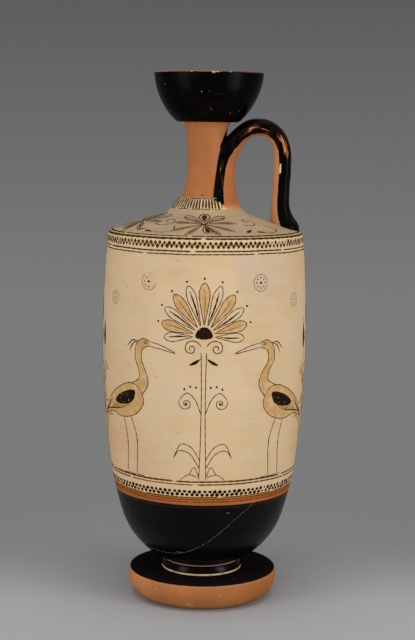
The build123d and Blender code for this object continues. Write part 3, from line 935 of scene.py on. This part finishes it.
def palmette_tree(panel, x):
    """A slender stem with tendrils, crowned by volutes and a fanned palmette."""
    crown = 82.0

    def to(points):
        return placed(points, (x, panel_floor))

    for side in (-1, 1):
        def sided(*points):
            return [(side * across, up) for across, up in points]

        panel.draw(to, 0.52, sided((2.4, 0.3), (1.5, 26), (1.2, 54), (1.6, crown - 2)))
        panel.draw(to, 0.5, sided((2.0, 8), (8, 17), (15, 19), (19, 14)),
                   sided((1.8, 13), (7, 21), (14, 23), (19, 14)))
        for out, up in ((9, 5.5), (15, 2.5)):
            panel.draw(to, 0.45, sided((2.2, 2), (out * 0.6, up * 1.6), (out, up - 2)))
        curl = spiral((side * 10.5, 48.5), 4.8, 0.8, math.pi / 2 * (1 - side) + side * 0.5, -side * 1.6)
        panel.draw(to, 0.52, sided((1.3, 42), (5, 51), (10, 55), (14.6, 51)))
        panel.lines.stroke(to(curl), 0.5)
        panel.spot(to, (side * 10.5, 48.5), 1.6, 1.6)
        for step in range(3):
            panel.spot(to, (side * (4.4 + 3.6 * step), 58.5 + 1.4 * step - step * step), 1.3, 1.5)
        volute = spiral((side * 7.6, crown), 6.0, 0.9, math.pi / 2 * (1 + side) - side * 0.2, -side * 1.7)
        panel.lines.stroke(to(volute), 0.6)
        bract = sided((1.8, crown - 6), (5, crown - 9.5), (9, crown - 10), (5.5, crown - 7.5))
        panel.area(panel.solids, bract, to)
    panel.area(panel.solids, [(-5.2, crown + 7), (-3.6, crown + 11.5), (0, crown + 13.2), (3.6, crown + 11.5),
                              (5.2, crown + 7), (0, crown + 5.6)], to)
    for index in range(-5, 6):
        lean = -math.radians(18.5 * index)
        length = 25.5 - 0.30 * index * index
        base = (6.4 * math.sin(-lean), crown + 7.5 + 6.4 * math.cos(lean))
        even = index % 2 == 0

        def fanned(points):
            return to(placed(points, base, False, lean))

        petal = smooth(leaf(length, 6.6 if even else 5.6), line_step)
        if even:
            panel.washes.patch(fanned(petal[:-1]), wash_relief)
        panel.lines.stroke(fanned(petal), 0.5)
        panel.draw(fanned, 0.4 if even else 1.0, [(0, 3), (0.4, length * 0.5), (0, length * 0.86)], tips=5.0)
        if abs(index) < 5:
            panel.spot(fanned, (0, length + 2.6), 1.4, 1.4)


def reeds(panel, x, flip):
    """Three reeds with bent leaves and dark seed heads."""
    for shift, tall, sway in ((-7, 92, -5), (0, 112, 3), (8, 78, 7)):
        def to(points):
            return placed(points, (x + (-shift if flip else shift), panel_floor), flip)

        panel.draw(to, 0.5, [(0, 0.3), (sway * 0.3, tall * 0.4), (sway * 0.7, tall * 0.75), (sway, tall)])
        panel.area(panel.solids, [(sway - 1.5, tall), (sway - 1.9, tall + 8), (sway + 0.2, tall + 15),
                                  (sway + 2.0, tall + 8), (sway + 1.5, tall)], to)
        panel.draw(to, 0.36, [(sway + 0.2, tall + 15), (sway + 0.8, tall + 19)])
        for level, reach in ((0.22, 15), (0.42, -13), (0.58, 11)):
            up = tall * level
            base, tip = (sway * level * 0.7, up), (reach * 1.25, up + 17)
            upper = [base, (reach * 0.35, up + 15), (reach * 0.8, up + 22), tip]
            lower = [base, (reach * 0.5, up + 11), (reach * 0.9, up + 17), tip]
            blade = np.vstack([smooth(upper, area_step), smooth(lower, area_step)[-2:0:-1]])
            panel.washes.patch(to(blade), wash_relief)
            panel.draw(to, 0.36, upper, lower)


def rosette(panel, x, z, size):
    """A dot rosette in the field."""
    panel.solids.dot((x, z), 1.7 * size, 1.7 * size)
    for index in range(8):
        angle = math.tau * index / 8
        spot = (x + 3.1 * size * math.cos(angle), z + 3.1 * size * math.sin(angle))
        panel.solids.dot(spot, 1.0 * size, 1.0 * size, 0, 8)
    turn = np.linspace(0, math.tau, 40)
    panel.lines.stroke(np.stack([x + 5.0 * size * np.cos(turn), z + 5.0 * size * np.sin(turn)], 1), 0.3)


def paint_panel():
    """The front drawing, and the same again at the back."""
    panel = Panel()
    half_way = math.pi * panel_radius
    for centre in (0.0, half_way):
        palmette_tree(panel, centre)
        for side in (-1, 1):
            heron(panel, centre + side * 54, side > 0, 0.0 if side > 0 else 1.5)
            reeds(panel, centre + side * (half_way / 2 - 3), side > 0)
            rosette(panel, centre + side * 36, 208, 1.0)
            rosette(panel, centre + side * 66, 196, 0.8)
    panel.washes.piece("panel_washes", "panel_wash", "white_ground")
    panel.lines.piece("panel_lines", "panel_line", "white_ground")
    panel.solids.piece("panel_solids", "panel_solid", "white_ground")


def paint_bowl():
    """A mended hairline across the black bowl, and a few scuffs."""
    crack, scuffs = Brush(on_body), Brush(on_body)
    route = [(41.0, 72.2), (34.3, 67.5), (23.4, 59.7), (13.3, 51.6), (2.5, 44.5), (-11.1, 38.6),
             (-26.4, 35.6), (-46.9, 34.7), (-66.6, 36.6), (-94, 46), (-110, 56), (-121, 67)]
    line = smooth(route, line_step)
    line[:, 1] += 0.15 * np.sin(line[:, 0] * 0.9) + 0.08 * np.sin(line[:, 0] * 2.3)
    crack.broken(line, 0.18, (20, 60), (0.1, 0.4))
    crack.piece("mended_crack", "crack_fill", "black_gloss")
    for x, z, across in ((-22.5, 36.9, 5.0), (19.1, 65.7, 2.6), (-140, 50, 3.5), (150, 58, 3.0)):
        scuffs.dot((x, z), across, 0.55, 0.3)
    scuffs.piece("bowl_scuffs", "scuff", "black_gloss")


# The handle: a strap that hugs the neck, arches over and foots on the shoulder

handle_stations = [
    # reach, height, half thickness, half width, painted as far as (towards the loop), sharpness of section
    (11.35, 243.0, 12.5, 19.2, 0.7, 2.1), (11.2, 246.0, 12.0, 18.8, 0.8, 2.1),
    (10.6, 251.0, 10.7, 17.7, 1.0, 2.1), (9.7, 257.0, 9.7, 16.4, 1.3, 2.2),
    (9.25, 264.0, 8.95, 13.4, 1.6, 2.3), (9.2, 272.0, 8.6, 10.8, 2.5, 2.4),
    (10.2, 278.9, 8.4, 9.8, 2.8, 2.5), (13.35, 285.4, 7.35, 9.7, 2.8, 2.6),
    (17.6, 291.1, 6.1, 9.7, 2.9, 2.7), (22.3, 296.3, 5.5, 9.7, 3.5, 2.7),
    (27.1, 299.6, 5.5, 9.7, 3.9, 2.7), (32.8, 300.7, 5.3, 9.7, 4.2, 2.7),
    (38.0, 299.7, 5.3, 9.7, 4.0, 2.7), (43.0, 296.0, 5.3, 9.7, 3.6, 2.7),
    (46.5, 290.0, 5.4, 9.7, 3.1, 2.7), (47.75, 282.0, 5.55, 9.7, 2.7, 2.7),
    (47.65, 272.0, 5.55, 9.7, 2.5, 2.7), (47.15, 262.0, 5.55, 9.7, 2.4, 2.7),
    (46.85, 254.0, 5.75, 9.9, 2.4, 2.6), (47.2, 247.5, 6.4, 10.6, 2.5, 2.5),
    (48.3, 242.0, 7.6, 12.0, 2.2, 2.4), (50.0, 237.0, 9.2, 13.4, 2.4, 2.3),
    (50.0, 233.0, 8.6, 13.0, 2.4, 2.3)]
# Foot of the paint on the neck limb, radius and top of the strap's back inside the neck, and where its
# length is counted from
paint_foot, strap_back, back_top, strap_start = 253.4, 9.3, 300, 3.0


def bump_at(value, centre, width, power):
    """1 at the centre, falling off over the width."""
    return np.exp(-((value - centre) / width) ** power)


def handle():
    """The strap, with the values that its paint and wear are drawn from."""
    stations = smooth(handle_stations, strap_step)
    reach, height, thick, wide, painted, sharp = stations.T[:, :, None]
    heading = np.gradient(stations[:, :2], axis=0)
    heading /= np.hypot(*heading.T)[:, None]
    turn = np.linspace(0, math.tau, strap_segments, endpoint=False)[None, :]
    along = np.linspace(0, 1, len(stations))[:, None]
    across = blunt(np.cos(turn), 2 / sharp) * thick
    across = across * (1 + 0.012 * np.sin(70 * along + 2 * turn)) - 0.08 * np.cos(turn)
    y = blunt(np.sin(turn), 2 / sharp) * wide
    x = reach + heading[:, 1:] * across
    z = height - heading[:, :1] * across
    paint_edge = painted - across
    drips = paint_foot - 4.0 * bump_at(across, -2.0, 0.6, 2) - 3.0 * bump_at(across, -0.1, 0.5, 2)
    paint_edge = np.where(along < 0.25, np.minimum(paint_edge, z - drips), paint_edge)
    bare = np.minimum.reduce([2.3 - across, across - 1.2, 3.0 - np.abs(z - 275.0), -5.0 - y, x - 30])
    arch = np.clip((z - 283) / 6, 0, 1) * np.clip((44 - x) / 4, 0, 1)
    ridge = arch * bump_at(across, -0.3, 2.2, 4) * np.interp(x, [18, 28, 40, 44], [0.62, 1.0, 1.0, 0.7])
    inner_ridge = arch * bump_at(across, 3.3, 1.0, 2) * np.clip((x - 22) / 6, 0, 1)
    bend = bump_at(across, -1.45 - 0.06 * (292 - z), 1.8, 4) * bump_at(z, 288.4, 8.0, 4) * (x > 38)
    bend = bend * np.interp(z, [282, 288], [0.70, 1.0])
    limb_streaks = bump_at(across, -0.6, 2.6, 4) * bump_at(z, 273, 15, 4) * (x < 20)
    front_wear = np.maximum.reduce([0.40 * ridge, 0.36 * inner_ridge, 0.74 * bend, 0.25 * limb_streaks])
    in_wall = np.sqrt(np.maximum(strap_back ** 2 - y ** 2, 0))
    x = np.where((x < in_wall) & (z < back_top), in_wall, x)
    rows, columns = x.shape
    faces = round_grid(rows, columns)[:(rows - 1) * columns]
    faces += [list(range(columns)), list(range((rows - 1) * columns, rows * columns))]
    mesh = mesh_of("handle_strap", np.stack([x, y, z], -1), faces, None, paint_edge=paint_edge, bare=bare,
                   worn=np.where(y < 0, front_wear, 0.30 * ridge), strap_across=across * MM,
                   strap_along=(strap_start + distances(stations)[:, None] + 0 * turn) * MM)
    add_piece("handle_strap", mesh, handle_material(), "handle")


# The thrown pieces

def mouth():
    """The cup with its flat rim and funnel."""
    lip, inner_edge = rim_radius + 0.15, rim_radius - rim_width
    rim = [(lip, mouth_top - 0.6), (lip, mouth_top - 0.3), (rim_radius - 0.25, mouth_top - 0.1)]
    rim += [(rim_radius - share * rim_width, mouth_top - 0.05) for share in (0.35, 0.6, 0.85)]
    rim += [(inner_edge, mouth_top - 0.35)]
    funnel_line = arc_through((inner_edge, mouth_top - 0.6), funnel, (neck_bore, funnel_floor), funnel_step)
    socket, socket_radius = neck_high + slip_gap, upper_spigot + slip_gap
    hidden = [(neck_bore, socket), (socket_radius, socket), (socket_radius, mouth_base[1])]
    chips = [(-17.6, 333.9, 0.7, 0.3), (4.5, 334.0, 1.5, 0.5), (8.5, 334.0, 1.0, 0.4),
             (22.0, 334.0, 0.7, 0.3), (150, 333.9, 1.8, 0.6), (-120, 333.9, 1.2, 0.5)]
    seen = np.vstack([mouth_outer[::-1], rim, funnel_line])
    turned("mouth_cup", "mouth", mouth_material(), seen, hidden, chips, mouth_lean)


def neck():
    """The tube with its bore and spigots."""
    hidden = [(lower_spigot, shoulder_top), (lower_spigot, neck_low), (neck_bore, neck_low),
              (neck_bore, neck_high), (upper_spigot, neck_high), (upper_spigot, neck_top)]
    turned("neck_tube", "neck", neck_material(), neck_outer, hidden)


def shoulder():
    """The disc with its lip and collar."""
    lip_inside = lip_radius - lip_width
    underside = shoulder_top - collar_thickness
    hidden = [(lip_radius, body_top), (lip_radius, shoulder_low), (lip_inside, shoulder_low),
              (lip_inside, body_top), (collar_bore, underside), (collar_bore, shoulder_top)]
    chips = [(-26, 234.2, 2.0, 0.25), (-9, 234.6, 1.3, 0.2), (21, 234.0, 1.6, 0.2), (61, 234.2, 2.2, 0.3),
             (-64, 234.4, 2.4, 0.3), (-130, 234.2, 2.6, 0.3), (160, 234.2, 2.0, 0.3)]
    turned("shoulder_disc", "shoulder", shoulder_material(), shoulder_outer, hidden, chips)


def body():
    """The hollow wall with its floor and tenon."""
    floor_height = fillet_top + body_floor
    inside = [(radius - body_wall, height) for radius, height in (body_rim, body_widest, body_lower)]
    inner_line = arc_through(*inside, coarse_step)
    bowl = (body_bowl[0] - body_wall, body_bowl[1] + body_wall / 2)
    for joint in (bowl, (fillet_top_radius - body_wall, floor_height)):
        inner_line = carried_on(inner_line, joint, coarse_step)
    tenon = [(tenon_radius, fillet_top), (tenon_radius, body_low), (0, body_low), (0, floor_height)]
    hidden = np.vstack([tenon, inner_line[::-1]])
    chips = [(-64, 150.0, 0.6, 0.1), (140, 120.0, 0.7, 0.1)]
    turned("body_wall", "body", body_material(), body_outer, hidden, chips)


def foot_fillet():
    """The ring, grooved over its bead."""
    grooved = fillet_outer.copy()
    grooved[:, 0] -= 0.25 * bump_at(grooved[:, 1], fillet_low + bead_height, 0.2, 2)
    hidden = [(tenon_radius + slip_gap, fillet_low), (tenon_radius + slip_gap, fillet_top)]
    turned("fillet_ring", "foot_fillet", fillet_material(), grooved, hidden)


def foot():
    """The disc, hollow underneath, with the tenon's socket."""
    inner_rest = foot_rest_radius - foot_rest_width
    dome_middle = (inner_rest * 0.55, foot_hollow * 0.75)
    dome = arc_through((inner_rest, 0.0), dome_middle, (0.0, foot_hollow), dome_step)
    socket_radius, socket_floor = tenon_radius + slip_gap, body_low - slip_gap
    socket = [(0, socket_floor), (socket_radius, socket_floor), (socket_radius, fillet_low)]
    hidden = np.vstack([dome, socket])
    chips = [(-10.8, 4.6, 1.7, 0.2), (-7.5, 3.4, 1.5, 0.2), (14, 11.5, 0.6, 0.15), (-37, 12.5, 0.8, 0.15),
             (33, 3.0, 1.4, 0.2), (120, 5.0, 2.2, 0.3), (-140, 8.0, 1.6, 0.2)]
    seen = np.vstack([foot_upper, foot_side[1:]])
    turned("foot_disc", "foot", foot_material(), seen, hidden, chips, foot_lean)


# Stage, light and camera

def stage():
    """A pale floor, darkened towards the back as painted shade, that fades into an even grey studio."""
    rings, spokes, floor_radius, floor_shift = 24, 96, 600.0, 60.0
    radius = np.linspace(0.0, floor_radius, rings + 1)[1:, None]
    angle = np.linspace(0, math.tau, spokes, endpoint=False)[None, :]
    points = np.stack([radius * np.cos(angle), radius * np.sin(angle) - floor_shift, 0 * radius * angle], -1)
    mesh = mesh_of("floor", points, round_grid(rings, spokes)[:(rings - 1) * spokes] + [list(range(spokes))])
    look = new_look("studio_floor")
    look.fill(look.shader, {"Alpha": look.near(0, 0, floor_shift, 120, 320)})
    pale = look.mix(look.noise(3.0), (0.440, 0.440, 0.445), (0.420, 0.420, 0.425))
    # Painted shade: the floor darkens towards the back
    shaded = look.coats(pale, ((0.305, 0.305, 0.308), look.blend(look.axis("Y"), -40, 130), 1))
    mesh.materials.append(look.finish(shaded, 0.8, 0.01, 0.2, look.noise(2.0)))
    floor = bpy.data.objects.new("floor", mesh)
    bpy.context.scene.collection.objects.link(floor)


def studio_world():
    """Grey surroundings, darker to the horizon and brighter overhead."""
    levels = ((-0.12, 0.200), (0.09, 0.105), (0.20, 0.105), (0.60, 0.44))
    world = bpy.data.worlds.new("studio")
    bpy.context.scene.world = world
    look = Look(world, "Background", "Generated")
    rise = look.make("MapRange", {"Value": look.make("SeparateXYZ", {0: look.place}, "Z"), "From Min": -1.0,
                              "From Max": 1.0})
    shade = look.nodes.new("ShaderNodeValToRGB")
    look.fill(shade, {0: rise})
    stops = shade.color_ramp.elements
    for index, (height, grey) in enumerate(levels):
        stop = stops[index] if index < 2 else stops.new(1.0)
        stop.position, stop.color = (height + 1) / 2, (grey, grey, grey * 1.01, 1)
    look.fill(look.shader, {"Color": shade.outputs["Color"], "Strength": 1.0})


def softbox(name, at, width, height, power):
    """A soft area lamp aimed at the vessel's middle, in metres and watts."""
    vessel_middle = Vector((0, 0, 0.18))
    lamp = bpy.data.lights.new(name, "AREA")
    lamp.shape = "RECTANGLE"
    lamp.size, lamp.size_y, lamp.energy = width, height, power
    box = bpy.data.objects.new(name, lamp)
    bpy.context.scene.collection.objects.link(box)
    box.location = at
    box.rotation_euler = (Vector(at) - vessel_middle).to_track_quat("Z", "Y").to_euler()
    return box


def lights():
    """Two tall side boxes, one overhead and a fill that leaves no reflection in the gloss."""
    softbox("left_box", (-1.23, -0.86, 0.25), 0.55, 1.5, 9.8)
    softbox("right_box", (1.29, -0.75, 0.25), 0.55, 1.5, 14.6)
    softbox("top_box", (0.0, -0.35, 1.50), 0.9, 0.7, 7)
    softbox("front_fill", (-0.45, -1.5, 0.10), 0.9, 0.5, 7).visible_glossy = False


def camera():
    """The photograph's viewpoint, for a picture 640 pixels high on a 36 mm sensor."""
    focal_pixels, picture_height, sensor = 1497.0, 640.0, 36.0
    tilt, roll = math.radians(7.45), math.radians(0.75)
    viewpoint = (0.0019, -0.947, 0.3019)
    lens = bpy.data.cameras.new("camera")
    lens.sensor_width, lens.lens = sensor, focal_pixels / picture_height * sensor
    lens.clip_start, lens.clip_end = 0.05, 20
    viewer = bpy.data.objects.new("camera", lens)
    bpy.context.scene.collection.objects.link(viewer)
    aim = Matrix.Rotation(math.pi / 2 - tilt, 4, "X") @ Matrix.Rotation(roll, 4, "Z")
    viewer.matrix_world = Matrix.Translation(viewpoint) @ aim
    bpy.context.scene.camera = viewer


for step in (foot, foot_fillet, body, shoulder, neck, mouth, handle, paint_bands, paint_tongues, paint_smears,
             paint_mouth, paint_shoulder, paint_panel, paint_bowl, stage, studio_world, lights, camera):
    step()
bpy.context.scene.view_settings.view_transform = "Standard"
